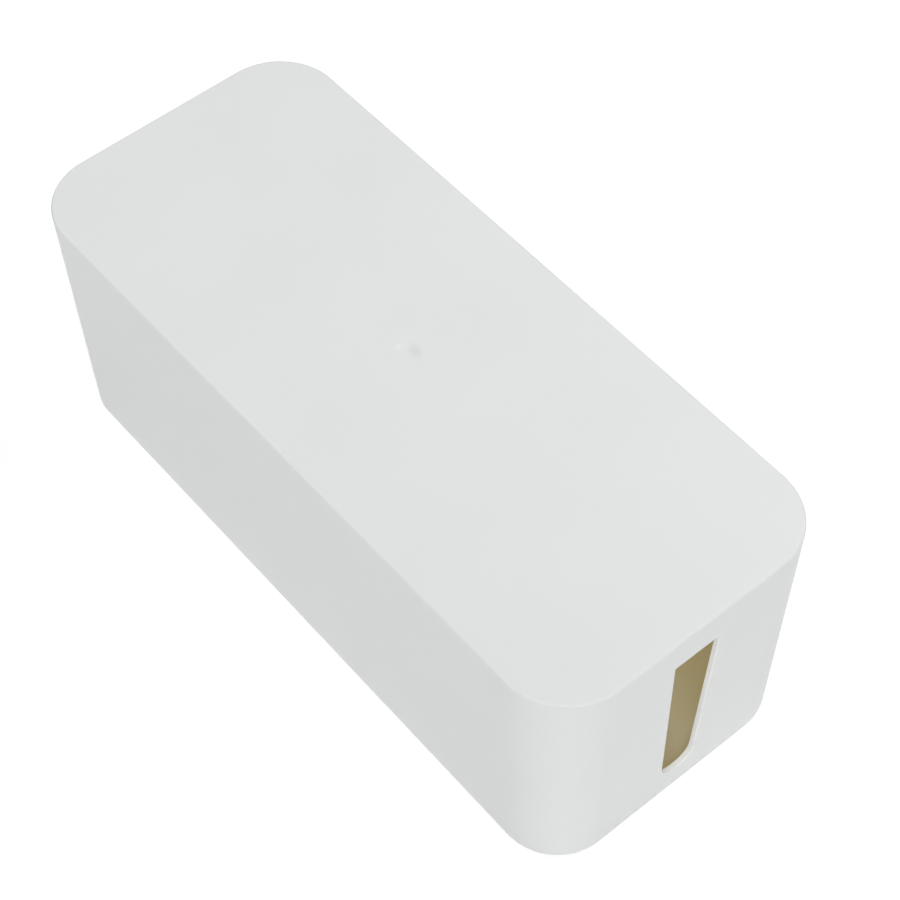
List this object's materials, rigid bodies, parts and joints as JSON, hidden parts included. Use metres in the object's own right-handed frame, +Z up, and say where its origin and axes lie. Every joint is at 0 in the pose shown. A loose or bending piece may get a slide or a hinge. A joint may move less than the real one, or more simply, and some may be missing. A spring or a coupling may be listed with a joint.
{
  "type": "cable management box",
  "caption": "Long white box with rounded corners, a flush lift-off lid and a round-bottomed cable slot in each end, which hides a power strip and its slack cable.",
  "frame": {"origin": "centre of the box on the surface that its feet stand on", "axes": "+Z up, X along the box's length with a cable slot at each end, -Y the front long side"},
  "size_m": [0.32, 0.1334, 0.12],
  "materials": {
    "white_polypropylene": "white polypropylene, finely textured satin",
    "foot_rubber": "matt soft rubber",
    "acrylic_adhesive": "thin double-sided adhesive"
  },
  "bodies": {
    "tub": {"base_tub": "white_polypropylene", "foot_front_left": "foot_rubber", "foot_front_right": "foot_rubber", "foot_rear_left": "foot_rubber", "foot_rear_right": "foot_rubber", "foot_tape_front_left": "acrylic_adhesive", "foot_tape_front_right": "acrylic_adhesive", "foot_tape_rear_left": "acrylic_adhesive", "foot_tape_rear_right": "acrylic_adhesive"},
    "lid": {"lid": "white_polypropylene"}
  },
  "joints": [
    {"name": "lid_lift", "type": "slide", "parent": "tub", "child": "lid", "axis": [0, 0, 1], "range_m": [0, 0.15]}
  ]
}
